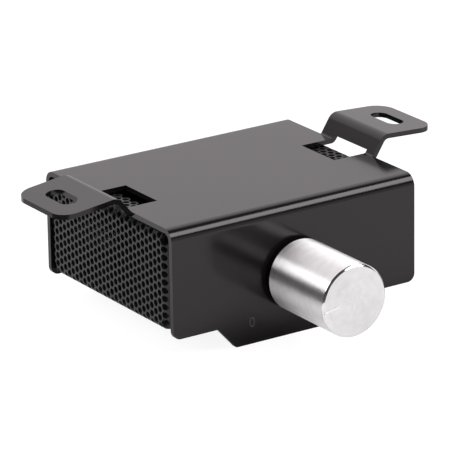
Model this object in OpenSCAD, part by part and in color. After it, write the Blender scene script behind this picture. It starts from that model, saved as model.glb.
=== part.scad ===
// Wired level control for a car amplifier. A folded steel cover with two screw ears
// closes over a perforated tray, and a turned aluminium knob works a rotary potentiometer.
// Sizes are in millimetres. X runs across the front, Y from the knob back to the cable
// socket, and Z up. The unit stands on its cover's two tabs, and the origin lies on that
// surface, in the middle of the whole object's length and width.

/* [Cover] */
// Width of the cover across the front
body_w = 68; // [64:1:80]
// Depth of the cover from its front face to its rear face
body_d = 55; // [52:1:70]
// Height of the front and rear panels beside their tabs
panel_h = 26.5; // [26:0.5:32]
// Thickness of the cover's sheet
sheet_t = 1.2; // [1:0.1:1.5]
// Outer radius of the bends between the top and the two panels
bend_r = 3; // [2:0.5:4]
// Radius of the panels' lower outer corners
corner_r = 2; // [1:0.5:4]
// How far each tab reaches below its panel
tab_h = 5.5; // [4:0.5:8]
// Width of a tab along its lower edge
tab_w = 33.8; // [26:0.2:40]
// Width that the slanted end of a tab takes
tab_slant_w = 4.9; // [3:0.1:6]
// Radius of a tab's lower corners
tab_corner_r = 0.9; // [0.5:0.1:1.5]

/* [Ears] */
// Width of an ear, along the unit's depth
ear_w = 21.6; // [20:0.2:25]
// Distance from the front face to an ear's near edge
ear_front = 16.9; // [14:0.1:19]
// How far an ear reaches out past the cover's side
ear_reach = 18.5; // [17:0.5:24]
// Height of the left ear's bend above the cover's top
left_rise = 4.1; // [3:0.1:8]
// Height of the right ear's bend above the cover's top
right_rise = 4.9; // [3:0.1:8]
// Slope of the left ear's leg from the horizontal, in degrees
left_leg_angle = 50; // [45:1:65]
// Slope of the right ear's leg from the horizontal, in degrees
right_leg_angle = 57; // [45:1:65]
// Droop of the left ear's pad towards its outer end, in degrees
left_droop = 7; // [0:0.5:8]
// Droop of the right ear's pad towards its outer end, in degrees
right_droop = 3; // [0:0.5:8]
// Inner radius of the bend between the cover's top and a leg
foot_r = 0.6; // [0.4:0.1:1]
// Inner radius of the bend between a leg and its pad
knee_r = 1.6; // [0.6:0.1:2]
// Radius of an ear's outer corners
ear_corner_r = 4.5; // [3:0.5:6]
// Width of the screw slot in an ear
slot_w = 4.5; // [3.5:0.1:5.5]
// Length of the screw slot from end to end
slot_len = 10.5; // [8:0.5:12]
// Distance from an ear's outer end to the middle of its slot
slot_inset = 6.5; // [5:0.5:8]
// Distance from the front face to a window's near edge
window_front = 20; // [18:0.5:23]
// Length of a window, along the unit's depth
window_len = 13.7; // [10:0.1:15]
// Distance from the cover's side to a window's inner edge
window_inset = 9; // [6:0.2:10]
// How far a window reaches up an ear's leg from its foot
window_up = 1; // [0.6:0.1:1.4]

/* [Tray] */
// Thickness of the perforated sheet
mesh_t = 1; // [0.8:0.1:1.2]
// Diameter of the perforations
hole_d = 1.6; // [1:0.1:1.7]
// Distance between the centres of neighbouring perforations
hole_pitch = 2; // [1.9:0.1:3]
// Outer radius of the tray's bends
mesh_r = 2; // [1.5:0.1:2.5]
// Outer radius of the bends to the tray's rear flanges
rear_r = 1.2; // [1.1:0.1:2]
// Distance between the front panel and the tray's front flanges
front_gap = 1.8; // [0.3:0.1:2.5]
// Distance of the tray's sides inside the cover's sides
tray_inset = 0.45; // [0.2:0.05:1]
// Height of the tray's floor above the panels' lower edges
tray_lift = 0.7; // [0.3:0.1:1.5]
// Width of the flanges along the front and rear panels
flange_w = 8; // [7:0.5:9]
// Width of the lips under the cover's top
lip_w = 6.1; // [4:0.1:7]

/* [Knob] */
// Diameter of the knob
knob_d = 17.5; // [17:0.5:20]
// Length of the knob
knob_len = 22.1; // [21:0.1:26]
// Distance between the front face and the knob
knob_gap = 1.5; // [1:0.1:2]
// Wall of the knob's turned shell
knob_wall = 1.2; // [0.8:0.1:1.4]
// Thickness of the knob's end
knob_face_t = 1.6; // [1.2:0.1:2]
// Bright edge round the knob's end
knob_chamfer = 0.5; // [0.3:0.1:0.8]
// Length of the pointer line, from the rim inwards
pointer_len = 4.4; // [3:0.2:6]
// Width of the pointer line
pointer_w = 0.5; // [0.3:0.1:1]
// Depth of the pointer line
pointer_depth = 0.25; // [0.1:0.05:0.5]
// Direction of the pointer, in degrees from the right, counter-clockwise from the front
pointer_angle = 188; // [-50:1:230]

/* [Potentiometer] */
// Distance from the cover's top down to the shaft's axis
shaft_drop = 17.1; // [16.8:0.1:17.8]
// Diameter of the shaft
shaft_d = 6; // [5.8:0.1:6.2]
// Length of the shaft from the front panel's inner face
shaft_len = 20; // [18:0.5:20]
// Length of the shaft's flat
flat_len = 10; // [8:0.5:11]
// Depth of the shaft's flat
flat_depth = 1.5; // [1:0.1:1.8]
// Angle that the knob turns through between its stops
sweep = 300; // [270:5:300]
// Diameter of the threaded bush
bush_d = 7.5; // [7.4:0.1:8]
// Length of the threaded bush from the front panel's inner face
bush_len = 6; // [5.5:0.1:6.5]
// Width of the bush's nut across its flats
nut_af = 10; // [9.6:0.1:10.4]
// Thickness of the bush's nut
nut_t = 2; // [1.6:0.1:2.2]
// Diameter of the washer under the nut
washer_d = 11.4; // [11:0.1:12]
// Thickness of the washer under the nut
washer_t = 0.5; // [0.3:0.1:0.8]
// Width and height of the potentiometer's case
pot_w = 11.8; // [11.6:0.1:12.4]
// Depth of the potentiometer's moulded case
case_d = 5; // [4.6:0.1:6]

/* [Board] */
// Width of the circuit board
board_w = 30; // [26:1:36]
// Thickness of the circuit board
board_t = 1.6; // [1:0.1:2]
// Distance between the potentiometer's case and the board over it
board_gap = 0.9; // [0.7:0.1:1.5]
// Width of the cable socket's housing
jack_w = 13.2; // [12.6:0.2:15]
// Height of the cable socket's housing
jack_h = 12; // [11.8:0.1:12.6]
// Depth of the cable socket's housing
jack_d = 16; // [15:0.5:18]
// Width of the socket's mouth for the plug
port_w = 9.8; // [9.6:0.1:10]
// Height of the socket's mouth for the plug
port_h = 6.8; // [6.6:0.1:7]

/* [Hidden] */
$fn = 48;

// Clearances, and the overrun of every cut
fit = 0.05;
gap = 0.3;
cut = 1;

// Heights that the pieces share
top_z = tab_h + panel_h;
axis_z = top_z - shaft_drop;
under_top = top_z - sheet_t;

// Ears: where they would bend up if the bends were sharp, their outer end and highest point
ear_foot_x = body_w / 2;
ear_end_x = body_w / 2 + ear_reach;
slot_x = ear_end_x - slot_inset;
ear_mid_y = ear_front + ear_w / 2;
ear_top_z = top_z + max(left_rise, right_rise);
bend_steps = 8;

// Tray: outer faces, and the flat stretches between its bends
tray_x = body_w / 2 - tray_inset;
tray_z0 = tab_h + tray_lift;
tray_z1 = under_top - gap;
tray_y0 = sheet_t + front_gap;
tray_y1 = body_d - sheet_t;
flat_x = tray_x - mesh_r;
rear_x = tray_x - rear_r;
flat_y0 = tray_y0 + mesh_r;
flat_y1 = tray_y1 - rear_r;
flat_z0 = tray_z0 + mesh_r;
flat_z1 = tray_z1 - mesh_r;
// Perforations: spacing of the columns, length of sheet in a bend, least distance from an edge
column_step = hole_pitch * sqrt(3) / 2;
bend_run = (mesh_r - mesh_t / 2) * PI / 2;
hole_margin = hole_d / 2 + (hole_pitch - hole_d) / 2;

// Screws through the rear panel into the tray's rear flanges
screw_d = 2.9;
screw_len = 6.5;
screw_head_d = 5.6;
screw_head_h = 1.9;
screw_head_r = 3.6;
cross_w = 0.7;
cross_len = 3;
cross_depth = 1.1;
screw_x = tray_x - flange_w / 2 - mesh_r / 2;
screw_z = (tray_z0 + tray_z1) / 2;

// Knob: radii and depths inside it
knob_r = knob_d / 2;
shell_bore_r = knob_r - knob_wall;
knob_end = knob_gap + knob_len;
shell_floor = knob_end - knob_face_t;
shell_back_chamfer = 0.3;
core_skirt_t = 0.9;
core_boss_d = 9.6;
core_web_t = 2;
core_recess = 0.6;
rib_t = 1;
rib_count = 6;

// Potentiometer: shaft, clip and stop
shaft_tip = shaft_len - sheet_t;
bush_tip = bush_len - sheet_t;
thread_play = 0.15;
groove_d = 5;
clip_t = 0.5;
clip_d = 8;
clip_mouth = 50;
plate_t = 1.2;
plate_y = sheet_t + plate_t;
case_y = plate_y + case_d;
case_wall = 1;
cavity_r = pot_w / 2 - case_wall;
lug_reach = 1.2;
rotor_r = cavity_r - lug_reach;
rotor_t = 2.4;
rotor_play = 0.2;
lug_r = cavity_r - rotor_play;
lug_half = 12;
stop_r = rotor_r + rotor_play;
stop_spare = 1;
stop_half = (360 - sweep) / 2 - lug_half - stop_spare;
stop_angle = 270;
wiper_t = 0.25;
wiper_rim = 0.3;
wiper_r = rotor_r - wiper_rim;
wiper_play = 0.15;
finger_w = 0.6;
finger_gap = 0.05;
finger_run = 1.9;
wiper_bore = wiper_r - 2 * finger_w - finger_gap;
journal_d = 2 * (wiper_bore - wiper_play);
track_t = 0.8;
track_y = case_y + track_t;
track_gap = 0.07;
bracket_t = 0.5;
bracket_clear = 4.2;
leg_w = 2;
pin_w = 0.8;
pin_t = 0.3;
pin_pitch = 2.5;
pin_lap = 3.4;
solder_out = 1;

// Board: where it lies and what goes through it
board_z = axis_z + pot_w / 2 + board_gap;
board_top = board_z + board_t;
board_clear = 1.5;
board_y0 = sheet_t + board_clear;
board_y1 = body_d - sheet_t - board_clear;
drill_d = 1.1;
leg_slot_w = leg_w + gap;
leg_slot_t = bracket_t + gap;
leg_y = plate_y + case_d / 2;

// Socket: its housing, mouth, pegs and wires
jack_y1 = body_d;
jack_y0 = jack_y1 - jack_d;
jack_z0 = board_z - jack_h;
jack_back_t = 1.6;
port_sill = 2.7;
port_z0 = jack_z0 + port_sill;
latch_w = 6.2;
latch_h = 2;
comb_w = 5.4;
comb_front = 2;
peg_d = 2.2;
peg_len = 2.4;
peg_x = 5;
peg_y = jack_y0 + jack_d / 2;
wire_d = 0.46;
wire_pitch = 1.02;
wire_count = 4;
wire_row = 2.4;
wire_dip = 2.3;
wire_inset = 1;
wire_drop = 1;
wire_end = 0.8;
wire_reach = 8.5;

// Small parts on the board
cap_d = 5;
cap_len = 7;
cap_x = -9.5;
cap_y = 24;
lead_d = 0.5;
lead_span = 2;
resistor_d = 2.3;
resistor_len = 6.3;
resistor_pitch = 10;
resistor_x = 8;
resistor_y = 18;
resistor_step = 5;
resistor_count = 3;

// The whole object's reach to the front and rear sets the origin
front_y = -knob_end;
rear_y = body_d + screw_head_h;
mid_y = (front_y + rear_y) / 2;

// Places a piece in the object's own frame
module placed() {
    translate([0, -mid_y, 0]) children();
}

// Extrudes an outline drawn in Y and Z along X, evenly to both sides
module along_x(w) {
    rotate([90, 0, 90]) linear_extrude(w, center = true) children();
}

// Extrudes an outline drawn in X and Z along Y, from one place to another
module along_y(y0, y1) {
    translate([0, y1, 0]) rotate([90, 0, 0]) linear_extrude(y1 - y0) children();
}

// A frame on the shaft's axis: its Z points out to the front, its X right and its Y up
module on_axis() {
    translate([0, 0, axis_z]) rotate([90, 0, 0]) children();
}

// The same frame, turned with the knob so that its X points along the pointer
module on_knob() {
    on_axis() rotate([0, 0, pointer_angle]) children();
}

// A block from its lowest corner to its highest
module block(a, b) {
    translate(a) cube([b[0] - a[0], b[1] - a[1], b[2] - a[2]]);
}

// A rectangle from its lowest corner to its highest
module pane(a, b) {
    translate(a) square([b[0] - a[0], b[1] - a[1]]);
}

// A rectangle with four round corners
module round_pane(a, b, r) {
    pane([a[0] + r, a[1]], [b[0] - r, b[1]]);
    pane([a[0], a[1] + r], [b[0], b[1] - r]);
    for (x = [a[0] + r, b[0] - r], y = [a[1] + r, b[1] - r])
        translate([x, y]) circle(r);
}

// Points along an arc
function arc(centre, r, a0, a1) = [
    for (i = [0 : bend_steps])
        let (a = a0 + (a1 - a0) * i / bend_steps)
        centre + r * [cos(a), sin(a)]
];

// Fold of the cover seen from the side, grown inwards by the given distance
module fold(inset, foot) {
    r = bend_r - inset;
    pane([inset, foot], [body_d - inset, top_z - bend_r]);
    pane([bend_r, foot], [body_d - bend_r, top_z - inset]);
    for (y = [bend_r, body_d - bend_r])
        translate([y, top_z - bend_r]) circle(r);
}

// Outline of a panel and its tab seen from the front
module panel_outline() {
    slant = atan(tab_h / tab_slant_w);
    run = tab_corner_r * tan(slant / 2);
    low_x = tab_w / 2 - run;
    side_x = tab_w / 2 + run * cos(slant);
    side_z = run * sin(slant);
    high_x = tab_w / 2 + tab_slant_w;
    pane([-body_w / 2, tab_h + corner_r], [body_w / 2, top_z]);
    pane([-body_w / 2 + corner_r, tab_h], [body_w / 2 - corner_r, top_z]);
    for (s = [-1, 1]) {
        translate([s * (body_w / 2 - corner_r), tab_h + corner_r]) circle(corner_r);
        translate([s * low_x, tab_corner_r]) circle(tab_corner_r);
    }
    polygon([
        [-low_x, 0], [low_x, 0], [side_x, side_z], [high_x, tab_h], [high_x, tab_h + corner_r],
        [-high_x, tab_h + corner_r], [-high_x, tab_h], [-side_x, side_z],
    ]);
}

// Section of an ear on the right side: plate, bend up, leg, bend down, pad
module ear_section(rise, up, droop) {
    t = sheet_t;
    down = -droop;
    knee_turn = up - down;
    foot_run = foot_r * tan(up / 2);
    knee_run = (knee_r + t) * tan(knee_turn / 2);
    foot_c = [ear_foot_x - foot_run, top_z + foot_r];
    knee = [ear_foot_x + rise / tan(up), top_z + rise];
    knee_c = knee + knee_run * [cos(down), sin(down)] - (knee_r + t) * [-sin(down), cos(down)];
    pad_len = (ear_end_x + cut - knee[0]) / cos(down);
    pad_end = knee + pad_len * [cos(down), sin(down)];
    back_x = body_w / 2 - window_inset - cut;
    polygon(concat(
        [[back_x, top_z]],
        arc(foot_c, foot_r, 270, 270 + up),
        arc(knee_c, knee_r + t, 90 + up, 90 + down),
        [pad_end, pad_end - t * [-sin(down), cos(down)]],
        arc(knee_c, knee_r, 90 + down, 90 + up),
        arc(foot_c, foot_r + t, 270 + up, 270),
        [[back_x, top_z - t]]
    ));
}

// Ear on the right side with its round outer corners
module ear(rise, up, droop) {
    intersection() {
        along_y(ear_front, ear_front + ear_w) ear_section(rise, up, droop);
        translate([0, 0, under_top - cut])
            linear_extrude(ear_top_z - under_top + 2 * cut)
                round_pane([0, ear_front], [ear_end_x, ear_front + ear_w], ear_corner_r);
    }
}

// Upright cut for the screw slot in the right ear
module slot_cut() {
    half = (slot_len - slot_w) / 2;
    h = ear_top_z - under_top + cut;
    translate([slot_x, ear_mid_y, under_top]) {
        for (s = [-1, 1])
            translate([0, s * half, 0]) cylinder(d = slot_w, h = h);
        block([-slot_w / 2, -half, 0], [slot_w / 2, half, h]);
    }
}

// Cut for the window at the foot of the right ear, up to a face square to the ear's leg
module window_cut(up) {
    inner_x = body_w / 2 - window_inset;
    normal = [-sin(up), cos(up)];
    far = [ear_foot_x, top_z] + window_up * [cos(up), sin(up)];
    low = far - (sheet_t + cut) * normal;
    along_y(window_front, window_front + window_len) polygon([
        [inner_x, under_top - cut], [low[0], under_top - cut], low,
        far + cut * normal, [inner_x, top_z + cut],
    ]);
}

module cover() {
    color([0.13, 0.13, 0.14]) placed() difference() {
        union() {
            intersection() {
                along_x(body_w) difference() {
                    fold(0, 0);
                    fold(sheet_t, -cut);
                }
                along_y(-cut, body_d + cut) panel_outline();
            }
            ear(right_rise, right_leg_angle, right_droop);
            mirror([1, 0, 0]) ear(left_rise, left_leg_angle, left_droop);
        }
        window_cut(right_leg_angle);
        mirror([1, 0, 0]) window_cut(left_leg_angle);
        for (m = [0, 1]) mirror([m, 0, 0]) {
            slot_cut();
            translate([screw_x, body_d + cut, screw_z]) rotate([90, 0, 0])
                cylinder(r = screw_d / 2 + gap / 2, h = sheet_t + 2 * cut);
        }
        translate([0, sheet_t + cut, axis_z]) rotate([90, 0, 0])
            cylinder(r = bush_d / 2 + thread_play, h = sheet_t + 2 * cut);
        block([-jack_w / 2 - gap, body_d - sheet_t - cut, jack_z0 - gap],
              [jack_w / 2 + gap, body_d + cut, board_z + gap]);
    }
}

// Perforations on a flat stretch of the tray. Rows run along the sheet's width from the
// middle of the floor, and odd columns are set off by half a pitch.
module holes(y0, y1, s0, s1, offset_s) {
    mid = (flat_y0 + flat_y1) / 2;
    cols = floor((y1 - y0) / 2 / column_step) + 1;
    for (i = [-cols : cols]) {
        y = mid + i * column_step;
        shift = i % 2 == 0 ? 0 : hole_pitch / 2;
        first = ceil((s0 + hole_margin - shift) / hole_pitch);
        last = floor((s1 - hole_margin - shift) / hole_pitch);
        if (y > y0 + hole_margin && y < y1 - hole_margin && last >= first)
            for (j = [first : last])
                translate([y, j * hole_pitch + shift - offset_s]) circle(d = hole_d, $fn = 16);
    }
}

// Flat side of the tray, drawn in Y and Z
module tray_side() {
    start = flat_x + bend_run;
    difference() {
        pane([flat_y0, flat_z0], [flat_y1, flat_z1]);
        holes(flat_y0, flat_y1, start, start + flat_z1 - flat_z0, start - flat_z0);
    }
}

// Floor of the tray, drawn in Y and X
module tray_floor() {
    difference() {
        pane([flat_y0, -flat_x], [flat_y1, flat_x]);
        holes(flat_y0, flat_y1, -flat_x, flat_x, 0);
    }
}

// Quarter turn of the sheet with the given outer radius, drawn in the first quadrant
module quarter(r) {
    difference() {
        intersection() {
            circle(r);
            square(r);
        }
        circle(r - mesh_t);
    }
}

module mesh_tray() {
    color([0.16, 0.16, 0.17]) placed() {
        translate([0, 0, tray_z0]) linear_extrude(mesh_t) rotate(90) mirror([0, 1]) tray_floor();
        block([-flat_x, tray_y0 + gap, tray_z0], [flat_x, flat_y0, tray_z0 + mesh_t]);
        block([-flat_x, flat_y1, tray_z0], [flat_x, tray_y1 - gap, tray_z0 + mesh_t]);
        for (m = [0, 1]) mirror([m, 0, 0]) {
            translate([tray_x - mesh_t / 2, 0, 0]) along_x(mesh_t) tray_side();
            along_y(flat_y0, flat_y1) {
                translate([flat_x, flat_z0]) mirror([0, 1]) quarter(mesh_r);
                translate([flat_x, flat_z1]) quarter(mesh_r);
                pane([tray_x - lip_w, tray_z1 - mesh_t], [flat_x, tray_z1]);
            }
            translate([0, 0, flat_z0]) linear_extrude(flat_z1 - flat_z0) {
                translate([rear_x, flat_y1]) quarter(rear_r);
                translate([flat_x, flat_y0]) mirror([0, 1]) quarter(mesh_r);
            }
            along_y(tray_y0, tray_y0 + mesh_t)
                pane([tray_x - flange_w, flat_z0], [flat_x, flat_z1]);
            along_y(tray_y1 - mesh_t, tray_y1) difference() {
                pane([tray_x - flange_w, flat_z0], [rear_x, flat_z1]);
                translate([screw_x, screw_z]) circle(screw_d / 2 + fit / 2);
            }
        }
    }
}

// Pan head screw pointing along its frame's Z, with its head's seat at zero
module pan_screw() {
    dome_z = screw_head_h - screw_head_r;
    cylinder(d = screw_d, h = screw_len);
    mirror([0, 0, 1]) difference() {
        intersection() {
            cylinder(d = screw_head_d, h = screw_head_h);
            translate([0, 0, dome_z]) sphere(screw_head_r);
        }
        for (a = [0, 90])
            rotate(a) block([-cross_len / 2, -cross_w / 2, screw_head_h - cross_depth],
                            [cross_len / 2, cross_w / 2, screw_head_h + cut]);
    }
}

module tray_screws() {
    color([0.2, 0.2, 0.21]) placed()
        for (s = [-1, 1])
            translate([s * screw_x, body_d, screw_z]) rotate([90, 0, 0]) pan_screw();
}

module knob_shell() {
    color([0.86, 0.86, 0.87]) placed() on_knob() difference() {
        rotate_extrude() polygon([
            [shell_bore_r, knob_gap],
            [knob_r - shell_back_chamfer, knob_gap],
            [knob_r, knob_gap + shell_back_chamfer],
            [knob_r, knob_end - knob_chamfer],
            [knob_r - knob_chamfer, knob_end],
            [0, knob_end],
            [0, shell_floor],
            [shell_bore_r, shell_floor],
        ]);
        block([knob_r - pointer_len, -pointer_w / 2, knob_end - pointer_depth],
              [knob_r + cut, pointer_w / 2, knob_end + cut]);
    }
}

// Round bar with one side cut flat, facing away from the pointer
module d_bar(r, h, depth) {
    difference() {
        cylinder(r = r, h = h);
        block([-r - cut, -r - cut, -cut], [-r + depth, r + cut, h + cut]);
    }
}

module knob_core() {
    core_z0 = bush_tip + fit + clip_t + gap + gap;
    skirt_r = shell_bore_r - fit;
    flat_z = shaft_tip - flat_len;
    color([0.12, 0.12, 0.12]) placed() on_knob() difference() {
        union() {
            difference() {
                translate([0, 0, knob_gap + core_recess])
                    cylinder(r = skirt_r, h = shell_floor - knob_gap - core_recess);
                translate([0, 0, knob_gap])
                    cylinder(r = skirt_r - core_skirt_t, h = shell_floor - core_web_t - knob_gap);
            }
            translate([0, 0, core_z0]) cylinder(d = core_boss_d, h = shell_floor - core_z0);
            for (i = [0 : rib_count - 1])
                rotate(i * 360 / rib_count)
                    block([shaft_d / 2 + 2 * fit + rib_t / 2, -rib_t / 2, core_z0 + rib_t],
                          [skirt_r - core_skirt_t / 2, rib_t / 2, shell_floor - core_web_t / 2]);
        }
        translate([0, 0, core_z0 - cut])
            cylinder(r = shaft_d / 2 + fit, h = flat_z + cut - core_z0 + gap);
        translate([0, 0, flat_z])
            d_bar(shaft_d / 2 + fit, flat_len + gap, flat_depth);
    }
}

module pot_shaft() {
    color([0.75, 0.75, 0.74]) placed() on_knob() difference() {
        union() {
            translate([0, 0, -plate_y - rotor_play])
                cylinder(d = shaft_d, h = plate_y + rotor_play + shaft_tip - flat_len);
            translate([0, 0, shaft_tip - flat_len]) d_bar(shaft_d / 2, flat_len, flat_depth);
            translate([0, 0, -plate_y - rotor_play - rotor_t - wiper_t])
                cylinder(d = journal_d, h = rotor_t + wiper_t + rotor_play / 2);
        }
        translate([0, 0, bush_tip + fit]) difference() {
            cylinder(d = shaft_d + cut, h = clip_t + fit);
            translate([0, 0, -cut]) cylinder(d = groove_d, h = clip_t + 2 * cut);
        }
    }
}

module pot_clip() {
    half = clip_mouth / 2;
    color([0.55, 0.55, 0.56]) placed() on_knob()
        translate([0, 0, bush_tip + 1.5 * fit]) linear_extrude(clip_t) difference() {
            circle(d = clip_d);
            circle(r = groove_d / 2 + fit / 2);
            polygon([[0, 0], clip_d * [cos(half), sin(half)], clip_d * [cos(half), -sin(half)]]);
        }
}

module pot_bushing() {
    color([0.72, 0.71, 0.68]) placed() difference() {
        union() {
            block([-pot_w / 2, sheet_t, axis_z - pot_w / 2], [pot_w / 2, plate_y, axis_z + pot_w / 2]);
            on_axis() translate([0, 0, -plate_y]) cylinder(d = bush_d, h = plate_y + bush_tip);
        }
        on_axis() translate([0, 0, -plate_y - cut])
            cylinder(r = shaft_d / 2 + fit, h = plate_y + bush_tip + 2 * cut);
    }
}

module pot_washer() {
    color([0.7, 0.7, 0.7]) placed() on_axis() linear_extrude(washer_t) difference() {
        circle(d = washer_d);
        circle(r = bush_d / 2 + fit);
    }
}

module pot_nut() {
    across = nut_af / cos(30);
    color([0.74, 0.73, 0.7]) placed() on_axis() translate([0, 0, washer_t]) difference() {
        cylinder(d = across, h = nut_t, $fn = 6);
        translate([0, 0, -cut]) cylinder(r = bush_d / 2 + fit, h = nut_t + 2 * cut);
    }
}

// Sector of a disc, at most a quarter turn wide, in the frame on the axis
module sector(r, middle, half) {
    intersection() {
        circle(r);
        rotate(middle) polygon([
            [0, 0], 2 * r * [cos(half), -sin(half)], 2 * r * [1, 0], 2 * r * [cos(half), sin(half)],
        ]);
    }
}

module pot_case() {
    half = pot_w / 2;
    color([0.1, 0.1, 0.1]) placed() on_axis() translate([0, 0, -case_y])
        linear_extrude(case_d) difference() {
            pane([-half, -half], [half, half]);
            difference() {
                circle(cavity_r);
                difference() {
                    sector(cavity_r + cut, stop_angle, stop_half);
                    circle(stop_r);
                }
            }
        }
}

module pot_rotor() {
    color([0.9, 0.88, 0.8]) placed() on_knob() translate([0, 0, -plate_y - rotor_play - rotor_t])
        linear_extrude(rotor_t) difference() {
            union() {
                circle(rotor_r);
                sector(lug_r, 0, lug_half);
            }
            circle(r = journal_d / 2 + fit / 2);
        }
}

// Sprung contact: a ring on the rotor and two fingers that slant back to the track
module pot_wiper() {
    ring_z = -plate_y - rotor_play - rotor_t;
    tip_z = -case_y + track_gap;
    color([0.8, 0.62, 0.3]) placed() on_knob() {
        translate([0, 0, ring_z - wiper_t]) linear_extrude(wiper_t) difference() {
            circle(wiper_r);
            circle(wiper_bore);
        }
        for (r = [wiper_bore, wiper_r - finger_w])
            translate([r, 0, 0]) rotate([90, 0, 90]) linear_extrude(finger_w) polygon([
                [0, ring_z - wiper_t / 2], [-wiper_t, ring_z - wiper_t / 2],
                [finger_run - wiper_t, tip_z], [finger_run, tip_z],
            ]);
    }
}

module pot_track() {
    color([0.55, 0.36, 0.2]) placed()
        block([-pot_w / 2, case_y, axis_z - pot_w / 2], [pot_w / 2, track_y, axis_z + pot_w / 2]);
}

// Strap that holds the potentiometer together, with two legs soldered into the board
module pot_bracket() {
    half = pot_w / 2;
    out = half + bracket_t;
    high_z = axis_z + half - bracket_clear;
    color([0.8, 0.8, 0.8]) placed() {
        block([-out, track_y, axis_z - half], [out, track_y + bracket_t, high_z]);
        for (m = [0, 1]) mirror([m, 0, 0]) {
            block([half, sheet_t + gap, axis_z - half], [out, track_y + bracket_t, high_z]);
            block([half, leg_y - leg_w / 2, high_z - cut], [out, leg_y + leg_w / 2, board_top + solder_out]);
        }
    }
}

module pot_pins() {
    low_z = axis_z + pot_w / 2 - pin_lap;
    color([0.85, 0.85, 0.83]) placed()
        for (i = [-1 : 1])
            block([i * pin_pitch - pin_w / 2, track_y, low_z],
                  [i * pin_pitch + pin_w / 2, track_y + pin_t, board_top + solder_out]);
}

// Places of the socket's wires across its width, each with its own row of the board
function wire_x(i) = (i - (wire_count - 1) / 2) * wire_pitch;
function wire_y(i) = jack_y0 + jack_back_t + wire_inset + (i % 2) * wire_row;

module drill(x, y, d) {
    translate([x, y, board_z - cut]) cylinder(d = d, h = board_t + 2 * cut);
}

module circuit_board() {
    half = pot_w / 2;
    color([0.05, 0.055, 0.052]) placed() difference() {
        block([-board_w / 2, board_y0, board_z], [board_w / 2, board_y1, board_top]);
        for (i = [-1 : 1]) drill(i * pin_pitch, track_y + pin_t / 2, drill_d);
        for (s = [-1, 1]) {
            x = s * (half + bracket_t / 2);
            block([x - leg_slot_t / 2, leg_y - leg_slot_w / 2, board_z - cut],
                  [x + leg_slot_t / 2, leg_y + leg_slot_w / 2, board_top + cut]);
            drill(s * peg_x, peg_y, peg_d + gap);
            drill(cap_x + s * lead_span / 2, cap_y, lead_d + gap);
            for (k = [0 : resistor_count - 1])
                drill(resistor_x + s * resistor_pitch / 2, resistor_y + k * resistor_step, lead_d + gap);
        }
        for (i = [0 : wire_count - 1]) drill(wire_x(i), wire_y(i), wire_d + gap);
    }
}

module jack_housing() {
    color([0.08, 0.08, 0.08]) placed() {
        difference() {
            block([-jack_w / 2, jack_y0, jack_z0], [jack_w / 2, jack_y1, board_z]);
            block([-port_w / 2, jack_y0 + jack_back_t, port_z0],
                  [port_w / 2, jack_y1 + cut, port_z0 + port_h]);
            block([-latch_w / 2, jack_y0 + jack_back_t, port_z0 - latch_h],
                  [latch_w / 2, jack_y1 + cut, port_z0 + cut]);
            block([-comb_w / 2, jack_y0 + jack_back_t, port_z0],
                  [comb_w / 2, jack_y1 - comb_front, board_z + cut]);
        }
        for (s = [-1, 1])
            translate([s * peg_x, peg_y, board_z - cut]) cylinder(d = peg_d, h = peg_len + cut);
    }
}

// Stamped contacts: a pin through the board, a run along the housing and a finger slanting back
module jack_contacts() {
    half = wire_d / 2;
    run_z = board_z - wire_drop;
    turn_y = jack_y1 - comb_front - wire_end;
    fall = run_z - (port_z0 + port_h - wire_dip);
    color([0.85, 0.68, 0.3]) placed()
        for (i = [0 : wire_count - 1])
            translate([wire_x(i), 0, 0]) along_x(wire_d) {
                pane([wire_y(i) - half, run_z - half], [wire_y(i) + half, board_top + solder_out]);
                pane([wire_y(i) - half, run_z - half], [turn_y + half, run_z + half]);
                translate([turn_y, run_z]) rotate(180 + atan(fall / wire_reach))
                    pane([0, -half], [norm([wire_reach, fall]), half]);
            }
}

// Electrolytic capacitor under the board, with its leads
module capacitor() {
    color([0.1, 0.12, 0.2]) placed() translate([cap_x, cap_y, 0]) {
        translate([0, 0, board_z - gap - cap_len]) cylinder(d = cap_d, h = cap_len);
        for (s = [-1, 1])
            translate([s * lead_span / 2, 0, board_z - cut])
                cylinder(d = lead_d, h = board_t + cut + solder_out);
    }
}

// Axial resistors under the board, with their leads bent up through it
module resistors() {
    half = lead_d / 2;
    body_z = board_z - resistor_d / 2 - gap;
    bend_x = resistor_pitch / 2;
    color([0.75, 0.62, 0.42]) placed()
        for (k = [0 : resistor_count - 1])
            translate([resistor_x, resistor_y + k * resistor_step, 0]) {
                translate([0, 0, body_z]) rotate([0, 90, 0])
                    cylinder(d = resistor_d, h = resistor_len, center = true);
                along_y(-half, half) for (m = [0, 1]) mirror([m, 0]) {
                    pane([resistor_len / 2 - lead_d, body_z - half], [bend_x + half, body_z + half]);
                    pane([bend_x - half, body_z - half], [bend_x + half, board_top + solder_out]);
                }
            }
}

cover();
mesh_tray();
tray_screws();
knob_shell();
knob_core();
pot_shaft();
pot_clip();
pot_bushing();
pot_washer();
pot_nut();
pot_case();
pot_rotor();
pot_wiper();
pot_track();
pot_bracket();
pot_pins();
circuit_board();
jack_housing();
jack_contacts();
capacitor();
resistors();
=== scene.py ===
"""Looks of a wired level control: painted cover, perforated tray, turned knob and what they hold."""

import math

import bmesh
import bpy
from bpy.props import FloatProperty, FloatVectorProperty, PointerProperty, StringProperty
from mathutils import Matrix, Vector


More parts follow.
